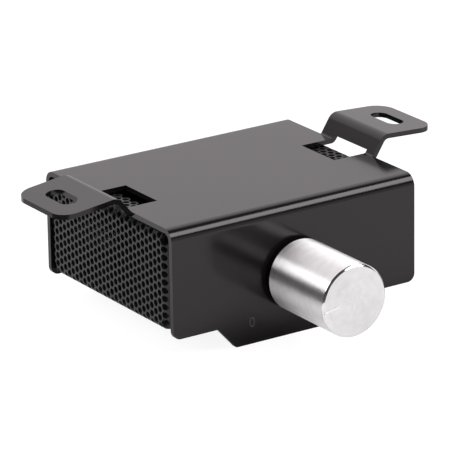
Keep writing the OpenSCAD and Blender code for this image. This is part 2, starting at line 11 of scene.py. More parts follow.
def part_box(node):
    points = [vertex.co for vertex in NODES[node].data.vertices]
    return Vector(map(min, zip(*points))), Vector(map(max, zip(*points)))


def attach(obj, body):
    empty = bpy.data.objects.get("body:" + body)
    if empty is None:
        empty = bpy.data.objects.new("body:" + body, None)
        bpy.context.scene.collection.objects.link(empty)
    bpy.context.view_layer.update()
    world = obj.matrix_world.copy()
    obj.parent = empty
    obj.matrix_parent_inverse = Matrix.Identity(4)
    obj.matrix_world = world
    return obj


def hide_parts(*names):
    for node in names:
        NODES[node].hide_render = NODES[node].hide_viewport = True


bl_info = {
    "name": "Wired Level Control",
    "version": (1, 0, 0),
    "blender": (4, 5, 0),
    "location": "View3D > Sidebar > Level Control",
    "description": "Dresses a wired level control: cover, perforated tray, knob and inner parts",
    "category": "Object",
}

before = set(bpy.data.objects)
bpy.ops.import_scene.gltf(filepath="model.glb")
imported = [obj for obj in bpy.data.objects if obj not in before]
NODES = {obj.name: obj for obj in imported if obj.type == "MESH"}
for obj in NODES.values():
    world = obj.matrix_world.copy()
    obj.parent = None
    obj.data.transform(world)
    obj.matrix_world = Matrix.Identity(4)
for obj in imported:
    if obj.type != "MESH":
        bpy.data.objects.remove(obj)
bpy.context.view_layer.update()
MM = 0.001

# Places that the frame gives
TRAY_LOW, TRAY_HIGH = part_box("mesh_tray")
KNOB_LOW, KNOB_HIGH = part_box("knob_shell")
AXIS_Z = (KNOB_LOW.z + KNOB_HIGH.z) / 2
FRONT_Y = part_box("cover")[0].y

# Corners closer than this are one
WELD = 0.002 * MM
# Room left round what fills a groove
PLAY = 0.01 * MM


# Small helpers for meshes

def link(obj):
    """Puts an object in the scene."""
    bpy.context.scene.collection.objects.link(obj)
    return obj


def bake(obj, name):
    """Turns what a modified object looks like into a plain mesh object of the given name."""
    graph = bpy.context.evaluated_depsgraph_get()
    mesh = bpy.data.meshes.new_from_object(obj.evaluated_get(graph), depsgraph=graph)
    bpy.data.objects.remove(obj)
    mesh.name = name
    return link(bpy.data.objects.new(name, mesh))


def smooth(mesh, angle):
    """Smooth shading that keeps every edge sharper than the angle."""
    mesh.shade_smooth()
    mesh.set_sharp_from_angle(angle=angle)


def flat_faces(piece):
    """Gives large faces their own flat shading, so that only the eased edges look round."""
    name = piece.name
    weighted = piece.modifiers.new("Flat faces", "WEIGHTED_NORMAL")
    weighted.keep_sharp = True
    piece.name = name + "_rough"
    return bake(piece, name)


def face_outwards(mesh):
    """Turns every face of a closed mesh outwards."""
    work = bmesh.new()
    work.from_mesh(mesh)
    bmesh.ops.recalc_face_normals(work, faces=work.faces)
    work.to_mesh(mesh)
    work.free()


def merged_copy(node, name, level=math.radians(0.5)):
    """A copy of a CAD node's mesh with its corners joined and its flat faces made whole."""
    mesh = NODES[node].data.copy()
    mesh.materials.clear()
    work = bmesh.new()
    work.from_mesh(mesh)
    bmesh.ops.remove_doubles(work, verts=work.verts, dist=WELD)
    bmesh.ops.dissolve_limit(work, angle_limit=level, verts=work.verts, edges=work.edges)
    work.to_mesh(mesh)
    work.free()
    mesh.name = name
    if mesh.has_custom_normals:
        mesh.normals_split_custom_set([(0, 0, 0)] * len(mesh.loops))
    return link(bpy.data.objects.new(name, mesh))


def eased(node, name, width, segments=2, angle=math.radians(28)):
    """A copy of a CAD node whose sharp edges are eased by the given width."""
    rough = merged_copy(node, name + "_rough")
    bevel = rough.modifiers.new("Eased edges", "BEVEL")
    bevel.width = width
    bevel.segments = segments
    bevel.limit_method = "ANGLE"
    bevel.angle_limit = angle
    bevel.use_clamp_overlap = True
    bevel.harden_normals = False
    piece = bake(rough, name)
    smooth(piece.data, angle)
    return flat_faces(piece)


def wear(piece, material, body, node):
    """Gives a piece its material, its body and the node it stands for."""
    piece.data.materials.clear()
    piece.data.materials.append(material)
    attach(piece, body)
    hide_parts(node)


# Small helpers for shader nodes

def put(tree, kind, **settings):
    """Adds a node and sets its properties, and its inputs by name or number."""
    node = tree.nodes.new(kind)
    inputs = settings.pop("inputs", {})
    for key, value in settings.items():
        setattr(node, key, value)
    for key, value in inputs.items():
        if isinstance(value, bpy.types.NodeSocket):
            tree.links.new(value, node.inputs[key])
        else:
            node.inputs[key].default_value = value
    return node


def sum_node(tree, operation, a, b=0.0, c=0.0, clamp=False):
    """One Math node's result."""
    node = tree.nodes.new("ShaderNodeMath")
    node.operation = operation
    node.use_clamp = clamp
    for socket, value in zip(node.inputs, (a, b, c)):
        if isinstance(value, bpy.types.NodeSocket):
            tree.links.new(value, socket)
        else:
            socket.default_value = value
    return node.outputs[0]


def group(name, sockets):
    """An empty shader node group with the given inputs and outputs."""
    tree = bpy.data.node_groups.new(name, "ShaderNodeTree")
    for side, kind, label, default in sockets:
        socket = tree.interface.new_socket(name=label, in_out=side, socket_type=kind)
        if default is not None:
            socket.default_value = default
    return tree, tree.nodes.new("NodeGroupInput"), tree.nodes.new("NodeGroupOutput")


def grain_group():
    """Fine grain of paint and moulded plastic: a mask from 0 to 1, a height and wide patches."""
    name = "Fine Grain"
    if name in bpy.data.node_groups:
        return bpy.data.node_groups[name]
    tree, start, end = group(name, [
        ("INPUT", "NodeSocketFloat", "Scale", 2000.0),
        ("INPUT", "NodeSocketFloat", "Patch Scale", 120.0),
        ("OUTPUT", "NodeSocketFloat", "Mask", None),
        ("OUTPUT", "NodeSocketFloat", "Height", None),
        ("OUTPUT", "NodeSocketFloat", "Patches", None),
    ])
    place = put(tree, "ShaderNodeTexCoord").outputs["Object"]
    fine = put(tree, "ShaderNodeTexNoise", inputs={
        "Vector": place, "Scale": start.outputs["Scale"], "Detail": 3.0, "Roughness": 0.6})
    patches = put(tree, "ShaderNodeTexNoise", inputs={
        "Vector": place, "Scale": start.outputs["Patch Scale"], "Detail": 4.0, "Roughness": 0.55})
    darkest, contrast = 0.3, 2.5
    mask = sum_node(tree, "SUBTRACT", fine.outputs[0], darkest)
    mask = sum_node(tree, "MULTIPLY", mask, contrast, clamp=True)
    tree.links.new(mask, end.inputs["Mask"])
    tree.links.new(fine.outputs[0], end.inputs["Height"])
    tree.links.new(patches.outputs[0], end.inputs["Patches"])
    return tree


def turning_group():
    """Marks of a lathe round the knob's axis: rings on the end and turns along the side."""
    name = "Turning Marks"
    if name in bpy.data.node_groups:
        return bpy.data.node_groups[name]
    tree, start, end = group(name, [
        ("INPUT", "NodeSocketFloat", "Rings", 6000.0),
        ("INPUT", "NodeSocketFloat", "Wide Rings", 700.0),
        ("INPUT", "NodeSocketFloat", "Axis Height", 0.0),
        ("OUTPUT", "NodeSocketFloat", "Marks", None),
        ("OUTPUT", "NodeSocketFloat", "Streaks", None),
    ])
    place = put(tree, "ShaderNodeTexCoord").outputs["Object"]
    split = put(tree, "ShaderNodeSeparateXYZ", inputs={0: place})
    height = sum_node(tree, "SUBTRACT", split.outputs["Z"], start.outputs["Axis Height"])
    across = sum_node(tree, "MULTIPLY", split.outputs["X"], split.outputs["X"])
    upward = sum_node(tree, "MULTIPLY", height, height)
    radius = sum_node(tree, "SQRT", sum_node(tree, "ADD", across, upward))
    along = sum_node(tree, "ADD", radius, split.outputs["Y"])
    turn = sum_node(tree, "ARCTAN2", height, split.outputs["X"])

    def rings(count, breaks, detail, roughness):
        where = put(tree, "ShaderNodeCombineXYZ", inputs={
            "X": sum_node(tree, "MULTIPLY", along, count),
            "Y": sum_node(tree, "MULTIPLY", turn, breaks)})
        return put(tree, "ShaderNodeTexNoise", inputs={
            "Vector": where.outputs[0], "Scale": 1.0, "Detail": detail, "Roughness": roughness})

    marks = rings(start.outputs["Rings"], breaks=0.9, detail=3.0, roughness=0.7)
    streaks = rings(start.outputs["Wide Rings"], breaks=2.2, detail=2.0, roughness=0.5)
    tree.links.new(marks.outputs[0], end.inputs["Marks"])
    tree.links.new(streaks.outputs[0], end.inputs["Streaks"])
    return tree


def placed_group(tree, made, **inputs):
    """A group placed in a material with its own values."""
    node = tree.nodes.new("ShaderNodeGroup")
    node.node_tree = made
    for label, value in inputs.items():
        node.inputs[label.replace("_", " ")].default_value = value
    return node


def material(name, roughness=0.4, metallic=0.0, ior=1.5):
    """A material with a bare Principled shader, and its tree and shader."""
    mat = bpy.data.materials.new(name)
    mat.use_nodes = True
    tree = mat.node_tree
    shader = tree.nodes["Principled BSDF"]
    shader.inputs["Roughness"].default_value = roughness
    shader.inputs["Metallic"].default_value = metallic
    shader.inputs["IOR"].default_value = ior
    return mat, tree, shader


def ramp(tree, factor, low, high):
    """A factor from 0 to 1 spread between two values."""
    return put(tree, "ShaderNodeMapRange", inputs={
        "Value": factor, "From Min": 0.0, "From Max": 1.0, "To Min": low, "To Max": high}).outputs[0]


def fade(tree, value, ends):
    """A soft step: 0 at the first end and before it, 1 at the second and past it."""
    return put(tree, "ShaderNodeMapRange", interpolation_type="SMOOTHSTEP", inputs={
        "Value": value, "From Min": ends[0], "From Max": ends[1]}).outputs[0]


def dimmed(tree, shade, share):
    """What is left of full brightness where a shade from 0 to 1 takes the given share of it."""
    return sum_node(tree, "MULTIPLY_ADD", shade, -share, 1.0)


def toned(colour, share):
    """A colour at the given share of its brightness, up to full."""
    return [min(1.0, c * share) for c in colour]


def two_tone(tree, factor, dark, light):
    """A colour between two colours."""
    node = put(tree, "ShaderNodeMix", data_type="RGBA")
    tree.links.new(factor, node.inputs["Factor"])
    node.inputs["A"].default_value = (*dark, 1)
    node.inputs["B"].default_value = (*light, 1)
    return node.outputs["Result"]


def raise_bump(tree, shader, height, distance):
    """Bumps of the given depth on a shader."""
    bump = put(tree, "ShaderNodeBump", inputs={
        "Height": height, "Distance": distance, "Strength": 1.0})
    tree.links.new(bump.outputs[0], shader.inputs["Normal"])


def grained(name, colour, roughness, spread=0.05, metallic=0.0, grain=2500.0, depth=0.002, tone=0.12):
    """Painted, moulded or plated: fine grain, faint patches and a little change of gloss."""
    mat, tree, shader = material(name, roughness, metallic)
    made = placed_group(tree, grain_group(), Scale=grain)
    tint = two_tone(tree, made.outputs["Patches"], toned(colour, 1 - tone), toned(colour, 1 + tone))
    tree.links.new(tint, shader.inputs["Base Color"])
    gloss = ramp(tree, made.outputs["Mask"], roughness - spread, roughness + spread)
    tree.links.new(gloss, shader.inputs["Roughness"])
    raise_bump(tree, shader, made.outputs["Height"], depth * MM)
    return mat


# Sizes and colours that a user would change

class CoverProps(bpy.types.PropertyGroup):
    edge: FloatProperty(
        name="Edge", description="Width of the eased edges of the painted sheet",
        default=0.28 * MM, unit="LENGTH")
    colour: FloatVectorProperty(
        name="Paint", description="Colour of the black paint", subtype="COLOR",
        default=(0.0065, 0.006, 0.006))
    roughness: FloatProperty(
        name="Roughness", description="Dullness of the paint", default=0.15, subtype="FACTOR")


class TrayProps(bpy.types.PropertyGroup):
    pitch: FloatProperty(
        name="Pitch", description="Distance between neighbouring holes", default=2.0 * MM, unit="LENGTH")
    hole: FloatProperty(
        name="Hole", description="Diameter of a hole", default=1.6 * MM, unit="LENGTH")
    sheet: FloatProperty(
        name="Sheet", description="Thickness of the perforated sheet", default=1.0 * MM, unit="LENGTH")
    bend: FloatProperty(
        name="Bend", description="Outer radius of the sheet's bends", default=2.0 * MM, unit="LENGTH")
    rear_bend: FloatProperty(
        name="Rear bend", description="Outer radius of the bends to the rear flanges",
        default=1.2 * MM, unit="LENGTH")
    lip: FloatProperty(
        name="Lip", description="Width of the lips under the cover", default=6.1 * MM, unit="LENGTH")
    flange: FloatProperty(
        name="Flange", description="Width of the flanges that face the front and rear panels",
        default=8.0 * MM, unit="LENGTH")
    gap: FloatProperty(
        name="Gap", description="How far the floor ends short of the flanges' outer faces",
        default=0.3 * MM, unit="LENGTH")
    colour: FloatVectorProperty(
        name="Paint", description="Colour of the tray's paint", subtype="COLOR",
        default=(0.012, 0.012, 0.012))


class KnobProps(bpy.types.PropertyGroup):
    edge: FloatProperty(
        name="Edge", description="Width of the knob's eased edges", default=0.09 * MM, unit="LENGTH")
    colour: FloatVectorProperty(
        name="Metal", description="Colour of the turned metal", subtype="COLOR",
        default=(0.75, 0.745, 0.75))
    pointer_angle: FloatProperty(
        name="Pointer angle", description="Direction of the pointer line seen from the front",
        default=math.radians(188), subtype="ANGLE")
    pointer_length: FloatProperty(
        name="Pointer length", description="Length of the line from the rim inwards",
        default=4.4 * MM, unit="LENGTH")
    pointer_width: FloatProperty(
        name="Pointer width", description="Width of the line", default=0.5 * MM, unit="LENGTH")
    pointer_depth: FloatProperty(
        name="Pointer depth", description="Depth of the line's groove", default=0.25 * MM, unit="LENGTH")
    chamfer: FloatProperty(
        name="Chamfer", description="Bright edge round the knob's end", default=0.5 * MM, unit="LENGTH")
    pointer: FloatVectorProperty(
        name="Pointer", description="Colour of the filled pointer line", subtype="COLOR",
        default=(0.95, 0.95, 0.95))


class PrintProps(bpy.types.PropertyGroup):
    low: StringProperty(name="Low", description="Number at the low end of the dial", default="0")
    high: StringProperty(name="High", description="Number at the high end of the dial", default="10")
    height: FloatProperty(
        name="Height", description="Height of the printed numbers", default=2.5 * MM, unit="LENGTH")
    reach: FloatProperty(
        name="Reach", description="Distance of the numbers from the shaft's axis",
        default=12.4 * MM, unit="LENGTH")
    drop: FloatProperty(
        name="Drop", description="Distance of the numbers below the shaft's axis",
        default=9.7 * MM, unit="LENGTH")
    ink: FloatVectorProperty(
        name="Ink", description="Colour of the printed ink", subtype="COLOR", default=(0.05, 0.05, 0.05))


class StageProps(bpy.types.PropertyGroup):
    azimuth: FloatProperty(
        name="Azimuth", description="Direction of the camera round the unit",
        default=math.radians(-33.30), subtype="ANGLE")
    elevation: FloatProperty(
        name="Elevation", description="Height of the camera as an angle",
        default=math.radians(19.52), subtype="ANGLE")
    roll: FloatProperty(
        name="Roll", description="Tilt of the camera", default=math.radians(-0.92), subtype="ANGLE")
    distance: FloatProperty(
        name="Distance", description="Distance from the camera to its aim", default=0.9395, unit="LENGTH")
    lens: FloatProperty(
        name="Lens", description="Focal length in millimetres", default=311.5, unit="CAMERA")
    aim: FloatVectorProperty(
        name="Aim",
        description="Point that the camera is set up round, from the middle of the top's front edge",
        default=(0.0, 21.94 * MM, -13.16 * MM), subtype="TRANSLATION")
    slide: FloatVectorProperty(
        name="Slide", description="How far the camera moves to its right and up", size=2,
        default=(-3.10 * MM, 0.18 * MM))


# Cover

PAINT_SHINE = (1.0, 0.93, 0.95)


def paint_material(name, colour, roughness, spread=0.03, peel=0.0012, tone=0.1):
    """Satin black paint: deep and even, with a warm shine and a faint orange peel."""
    mat, tree, shader = material(name, roughness, ior=1.42)
    shader.inputs["Specular Tint"].default_value = (*PAINT_SHINE, 1)
    made = placed_group(tree, grain_group(), Scale=1400.0, Patch_Scale=60.0)
    tint = two_tone(tree, made.outputs["Patches"], toned(colour, 1 - tone), toned(colour, 1 + tone))
    tree.links.new(tint, shader.inputs["Base Color"])
    gloss = ramp(tree, made.outputs["Patches"], roughness - spread, roughness + spread)
    tree.links.new(gloss, shader.inputs["Roughness"])
    raise_bump(tree, shader, made.outputs["Height"], peel * MM)
    return mat


class LEVEL_OT_cover(bpy.types.Operator):
    """Painted cover with eased edges"""
    bl_idname = "level.cover"
    bl_label = "Cover"

    def execute(self, context):
        props = context.scene.level_cover
        piece = eased("cover", "painted_cover", props.edge, segments=3)
        wear(piece, paint_material("Cover Paint", props.colour, props.roughness),
             "housing", "cover")
        return {"FINISHED"}


# Perforated tray

HOLE_SIDES = 12


class Sheet:
    """Sums and nodes in the tray's Geometry Nodes tree."""

    def __init__(self, tree, start):
        self.tree = tree
        self.start = start

    def __getitem__(self, label):
        return self.start.outputs[label]

    def do(self, operation, a, b=0.0, c=0.0):
        return sum_node(self.tree, operation, a, b, c)

    def clamp(self, value, low, high):
        return self.do("MINIMUM", self.do("MAXIMUM", value, low), high)

    def vector(self, x=0.0, y=0.0, z=0.0):
        return put(self.tree, "ShaderNodeCombineXYZ", inputs={0: x, 1: y, 2: z}).outputs[0]

    def position(self):
        node = put(self.tree, "GeometryNodeInputPosition")
        return put(self.tree, "ShaderNodeSeparateXYZ", inputs={0: node.outputs[0]}).outputs

    def move(self, geometry, position, selection=None):
        node = put(self.tree, "GeometryNodeSetPosition", inputs={0: geometry, "Position": position})
        if selection is not None:
            self.tree.links.new(selection, node.inputs["Selection"])
        return node.outputs[0]


def cell(sheet):
    """One hole with the web round it, out to the six-sided cell that it shares with its neighbours."""
    half = sheet.do("MULTIPLY", sheet["Pitch"], 0.5)
    ring = put(sheet.tree, "GeometryNodeMeshCircle", fill_type="NONE", inputs={
        "Vertices": HOLE_SIDES, "Radius": sheet.do("MULTIPLY", sheet["Hole"], 0.5)})
    web = put(sheet.tree, "GeometryNodeExtrudeMesh", mode="EDGES", inputs={
        "Mesh": ring.outputs[0], "Offset Scale": 0.0})
    x, y, _ = sheet.position()
    turn = sheet.do("ARCTAN2", y, x)
    sixth = sheet.do("FLOORED_MODULO", turn, math.pi / 3)
    edge = sheet.do("DIVIDE", half, sheet.do("COSINE", sheet.do("SUBTRACT", sixth, math.pi / 6)))
    rim = sheet.vector(
        sheet.do("MULTIPLY", edge, sheet.do("COSINE", turn)),
        sheet.do("MULTIPLY", edge, sheet.do("SINE", turn)))
    return sheet.move(web.outputs["Mesh"], rim, web.outputs["Top"])


def end_value(sheet, rear, label):
    """A size that differs between the sheet's front and rear end."""
    front_value = sheet["Front " + label]
    more = sheet.do("SUBTRACT", sheet["Rear " + label], front_value)
    return sheet.do("MULTIPLY_ADD", more, rear, front_value)


def hole_places(sheet, bend_run):
    """Centres of the holes on the unfolded sheet: X runs along the unit's depth, Y across the sheet."""
    step = sheet.do("MULTIPLY", sheet["Pitch"], math.sqrt(3) / 2)
    wall_start = sheet.do("ADD", sheet["Floor Half"], bend_run)
    wall_end = sheet.do("ADD", wall_start, sheet["Wall"])
    sheet_end = sheet.do("ADD", sheet.do("ADD", wall_end, bend_run), sheet["Lip"])
    longest = sheet.do("MAXIMUM", sheet["Front Reach"], sheet["Rear Reach"])
    reach = sheet.do("ADD", sheet["Flat Half"], longest)
    columns = sheet.do("CEIL", sheet.do("DIVIDE", reach, step))
    rows = sheet.do("CEIL", sheet.do("DIVIDE", sheet_end, sheet["Pitch"]))
    grid = put(sheet.tree, "GeometryNodeMeshGrid", inputs={
        "Size X": sheet.do("MULTIPLY", sheet.do("MULTIPLY", columns, 2.0), step),
        "Size Y": sheet.do("MULTIPLY", sheet.do("MULTIPLY", rows, 2.0), sheet["Pitch"]),
        "Vertices X": sheet.do("MULTIPLY_ADD", columns, 2.0, 1.0),
        "Vertices Y": sheet.do("MULTIPLY_ADD", rows, 2.0, 1.0)})
    x, y, _ = sheet.position()
    column = sheet.do("ROUND", sheet.do("DIVIDE", x, step))
    odd = sheet.do("FLOORED_MODULO", column, 2.0)
    shift = sheet.do("MULTIPLY", sheet.do("MULTIPLY", odd, sheet["Pitch"]), 0.5)
    shifted = sheet.move(grid.outputs[0], sheet.vector(x, sheet.do("ADD", y, shift)))
    x, y, _ = sheet.position()
    depth = sheet.do("ABSOLUTE", x)
    across = sheet.do("ABSOLUTE", y)
    rear = sheet.do("GREATER_THAN", x, 0.0)
    end = sheet.do("ADD", sheet["Flat Half"], end_value(sheet, rear, "Reach"))
    floor_end = sheet.do("ADD", sheet["Flat Half"], end_value(sheet, rear, "Floor"))
    margin = sheet.do("MULTIPLY", sheet["Pitch"], 0.5)
    lip_margin = sheet.do("MULTIPLY", sheet["Pitch"], 0.25)

    def within(value, limit, least=margin):
        return sheet.do("LESS_THAN", value, sheet.do("SUBTRACT", limit, least))

    def both(a, b):
        return sheet.do("MULTIPLY", a, b)

    strip = both(sheet.do("LESS_THAN", depth, sheet["Flat Half"]), within(across, sheet_end, lip_margin))
    floor = both(within(depth, floor_end), within(across, sheet["Floor Half"]))
    above = sheet.do("GREATER_THAN", across, sheet.do("ADD", wall_start, margin))
    wall = both(both(within(depth, end), within(across, wall_end)), above)
    kept = sheet.do("MAXIMUM", sheet.do("MAXIMUM", strip, floor), wall)
    gone = sheet.do("LESS_THAN", kept, 0.5)
    cut = put(sheet.tree, "GeometryNodeDeleteGeometry", domain="POINT", inputs={
        "Geometry": shifted, "Selection": gone})
    return cut.outputs[0], wall_start, wall_end


def fold(sheet, geometry, bend_run, wall_start, wall_end):
    """Folds the flat sheet: floor, bend, wall, bend, lip, and the walls' ends round to the flanges."""
    x, y, z = sheet.position()
    radius = sheet["Bend Middle"]
    quarter = math.pi / 2
    nearly_quarter = quarter * 0.999
    side = sheet.do("SIGN", y)
    run = sheet.do("ABSOLUTE", y)
    proud = sheet.do("SUBTRACT", z, sheet.do("MULTIPLY", sheet["Sheet"], 0.5))
    floor = sheet.do("MINIMUM", run, sheet["Floor Half"])
    past_floor = sheet.do("SUBTRACT", run, sheet["Floor Half"])
    low = sheet.clamp(sheet.do("DIVIDE", past_floor, radius), 0.0, quarter)
    wall = sheet.clamp(sheet.do("SUBTRACT", run, wall_start), 0.0, sheet["Wall"])
    past = sheet.do("SUBTRACT", run, wall_end)
    high = sheet.clamp(sheet.do("DIVIDE", past, radius), 0.0, quarter)
    lip = sheet.do("MAXIMUM", sheet.do("SUBTRACT", past, bend_run), 0.0)
    # along the depth, the walls turn in and face the panels
    front = sheet.do("SIGN", x)
    turn_radius = end_value(sheet, sheet.do("GREATER_THAN", x, 0.0), "Bend Middle")
    turn_run = sheet.do("MULTIPLY", turn_radius, quarter)
    beyond = sheet.do("MAXIMUM", sheet.do("SUBTRACT", sheet.do("ABSOLUTE", x), sheet["Flat Half"]), 0.0)
    upright = sheet.do("GREATER_THAN", low, nearly_quarter)
    beyond_wall = sheet.do("MULTIPLY", beyond, upright)
    inward = sheet.clamp(sheet.do("DIVIDE", beyond_wall, turn_radius), 0.0, quarter)
    flange = sheet.do("MAXIMUM", sheet.do("SUBTRACT", beyond_wall, turn_run), 0.0)

    def part_of_turn(angle, of=radius):
        return sheet.do("MULTIPLY", sheet.do("SUBTRACT", 1.0, sheet.do("COSINE", angle)), of)

    def over(angle, of=radius):
        return sheet.do("MULTIPLY", sheet.do("SINE", angle), of)

    total = sheet.do("ADD", low, high)
    out = sheet.do("ADD", floor, over(low))
    out = sheet.do("SUBTRACT", out, part_of_turn(high))
    out = sheet.do("SUBTRACT", out, lip)
    out = sheet.do("SUBTRACT", out, part_of_turn(inward, turn_radius))
    out = sheet.do("SUBTRACT", out, flange)
    lean = sheet.do("MULTIPLY", sheet.do("SINE", total), sheet.do("COSINE", inward))
    out = sheet.do("MULTIPLY_ADD", proud, lean, out)
    up = sheet.do("ADD", sheet["Floor Height"], part_of_turn(low))
    up = sheet.do("ADD", up, wall)
    up = sheet.do("ADD", up, over(high))
    up = sheet.do("SUBTRACT", up, sheet.do("MULTIPLY", proud, sheet.do("COSINE", total)))
    flat_part = sheet.do("SUBTRACT", beyond, beyond_wall)
    depth = sheet.do("MINIMUM", sheet.do("ABSOLUTE", x), sheet["Flat Half"])
    depth = sheet.do("ADD", depth, flat_part)
    depth = sheet.do("ADD", depth, over(inward, turn_radius))
    depth = sheet.do("MULTIPLY_ADD", proud, sheet.do("SINE", inward), depth)
    folded = sheet.vector(
        sheet.do("MULTIPLY", out, side),
        sheet.do("MULTIPLY_ADD", depth, front, sheet["Middle"]),
        up)
    return sheet.move(geometry, folded)


def tray_tree(paint):
    """The folded perforated sheet as a Geometry Nodes tree."""
    tree = bpy.data.node_groups.new("Perforated Sheet", "GeometryNodeTree")
    tree.interface.new_socket(name="Geometry", in_out="OUTPUT", socket_type="NodeSocketGeometry")
    for label in ("Pitch", "Hole", "Sheet", "Bend Middle", "Floor Half", "Wall", "Lip", "Flat Half",
                  "Front Bend Middle", "Rear Bend Middle", "Front Reach", "Rear Reach",
                  "Front Floor", "Rear Floor", "Floor Height", "Middle"):
        tree.interface.new_socket(name=label, in_out="INPUT", socket_type="NodeSocketFloat")
    start = tree.nodes.new("NodeGroupInput")
    end = tree.nodes.new("NodeGroupOutput")
    sheet = Sheet(tree, start)
    bend_run = sheet.do("MULTIPLY", sheet["Bend Middle"], math.pi / 2)
    places, wall_start, wall_end = hole_places(sheet, bend_run)
    cells = put(tree, "GeometryNodeInstanceOnPoints", inputs={"Points": places, "Instance": cell(sheet)})
    flat = put(tree, "GeometryNodeRealizeInstances", inputs={0: cells.outputs[0]})
    weld = sheet.do("MULTIPLY", sheet["Pitch"], 0.01)
    joined = put(tree, "GeometryNodeMergeByDistance", inputs={
        "Geometry": flat.outputs[0], "Distance": weld})
    upward = sheet.vector(0.0, 0.0, 1.0)
    thick = put(tree, "GeometryNodeExtrudeMesh", mode="FACES", inputs={
        "Mesh": joined.outputs[0], "Offset": upward, "Offset Scale": sheet["Sheet"], "Individual": False})
    back = put(tree, "GeometryNodeFlipFaces", inputs={0: joined.outputs[0]})
    shell = put(tree, "GeometryNodeJoinGeometry")
    tree.links.new(thick.outputs["Mesh"], shell.inputs[0])
    tree.links.new(back.outputs[0], shell.inputs[0])
    whole = put(tree, "GeometryNodeMergeByDistance", inputs={
        "Geometry": shell.outputs[0], "Distance": weld})
    folded = fold(sheet, whole.outputs[0], bend_run, wall_start, wall_end)
    real = put(tree, "GeometryNodeRealizeInstances", inputs={0: folded})
    painted = put(tree, "GeometryNodeSetMaterial", inputs={"Geometry": real.outputs[0], "Material": paint})
    tree.links.new(painted.outputs[0], end.inputs[0])
    return tree


def set_inputs(modifier, values):
    """Sets a modifier's inputs, found by name and set by identifier."""
    for item in modifier.node_group.interface.items_tree:
        if item.item_type == "SOCKET" and item.in_out == "INPUT" and item.name in values:
            modifier[item.identifier] = values[item.name]


class LEVEL_OT_tray(bpy.types.Operator):
    """Perforated tray, folded from one sheet whose holes run round its bends"""
    bl_idname = "level.tray"
    bl_label = "Perforated tray"

    def execute(self, context):
        props = context.scene.level_tray
        paint = grained("Tray Paint", props.colour, 0.42, grain=3500.0)
        # the bends' radii at the middle of the sheet's thickness
        middle = props.bend - props.sheet / 2
        rear_middle = props.rear_bend - props.sheet / 2
        flat_y0 = TRAY_LOW.y + props.bend
        flat_y1 = TRAY_HIGH.y - props.rear_bend
        values = {
            "Pitch": props.pitch, "Hole": props.hole, "Sheet": props.sheet,
            "Bend Middle": middle, "Front Bend Middle": middle, "Rear Bend Middle": rear_middle,
            "Floor Half": TRAY_HIGH.x - props.bend,
            "Wall": TRAY_HIGH.z - TRAY_LOW.z - 2 * props.bend,
            "Lip": props.lip - props.bend,
            "Flat Half": (flat_y1 - flat_y0) / 2,
            "Front Reach": middle * math.pi / 2 + props.flange - props.bend,
            "Rear Reach": rear_middle * math.pi / 2 + props.flange - props.rear_bend,
            "Front Floor": props.bend - props.gap, "Rear Floor": props.rear_bend - props.gap,
            "Floor Height": TRAY_LOW.z + props.sheet / 2,
            "Middle": (flat_y1 + flat_y0) / 2,
        }
        rough = link(bpy.data.objects.new("tray_flat", bpy.data.meshes.new("tray_flat")))
        modifier = rough.modifiers.new("Perforated Sheet", "NODES")
        modifier.node_group = tray_tree(paint)
        set_inputs(modifier, values)
        piece = bake(rough, "perforated_tray")
        face_outwards(piece.data)
        smooth(piece.data, math.radians(35))
        wear(piece, paint, "housing", "mesh_tray")
        return {"FINISHED"}


# Knob

def turned_material(name, colour, roughness, anisotropy, groove, dark=0.86, light=1.1, spread=0.12):
    """Fine turned aluminium: its grooves spread reflections along the axis and towards the middle."""
    quarter_turn = 0.25
    mat, tree, shader = material(name, roughness=roughness, metallic=1.0)
    made = placed_group(tree, turning_group(), Rings=9000.0, Wide_Rings=700.0, Axis_Height=AXIS_Z)
    tint = two_tone(tree, made.outputs["Streaks"], toned(colour, dark), toned(colour, light))
    tree.links.new(tint, shader.inputs["Base Color"])
    gloss = ramp(tree, made.outputs["Marks"], roughness * (1 - spread), roughness * (1 + spread))
    tree.links.new(gloss, shader.inputs["Roughness"])
    shader.inputs["Anisotropic"].default_value = anisotropy
    shader.inputs["Anisotropic Rotation"].default_value = quarter_turn
    tangent = put(tree, "ShaderNodeTangent", direction_type="RADIAL", axis="Y")
    tree.links.new(tangent.outputs[0], shader.inputs["Tangent"])
    raise_bump(tree, shader, made.outputs["Marks"], groove * MM)
    return mat


def knob_place(radius, angle, y):
    """A point round the knob's axis."""
    return Vector((radius * math.cos(angle), y, AXIS_Z + radius * math.sin(angle)))


def pointer_fill(props, ink):
    """White filling of the pointer's groove, just below the knob's end."""
    knob_r = (KNOB_HIGH.x - KNOB_LOW.x) / 2
    along = knob_place(1, props.pointer_angle, 0) - knob_place(0, 0, 0)
    across = Vector((0, -1, 0)).cross(along)
    face = KNOB_LOW.y + PLAY
    corners = []
    for y in (face, face + props.pointer_depth - 2 * PLAY):
        for reach in (knob_r - props.pointer_length + PLAY, knob_r - props.chamfer):
            for side in (-1, 1):
                half = side * (props.pointer_width - PLAY) / 2
                corners.append(knob_place(0, 0, y) + reach * along + half * across)
    mesh = bpy.data.meshes.new("pointer_fill")
    quads = [(0, 1, 3, 2), (4, 6, 7, 5), (0, 4, 5, 1), (2, 3, 7, 6), (0, 2, 6, 4), (1, 5, 7, 3)]
    mesh.from_pydata(corners, [], quads)
    face_outwards(mesh)
    mesh.materials.append(ink)
    piece = link(bpy.data.objects.new("pointer_fill", mesh))
    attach(piece, "knob")


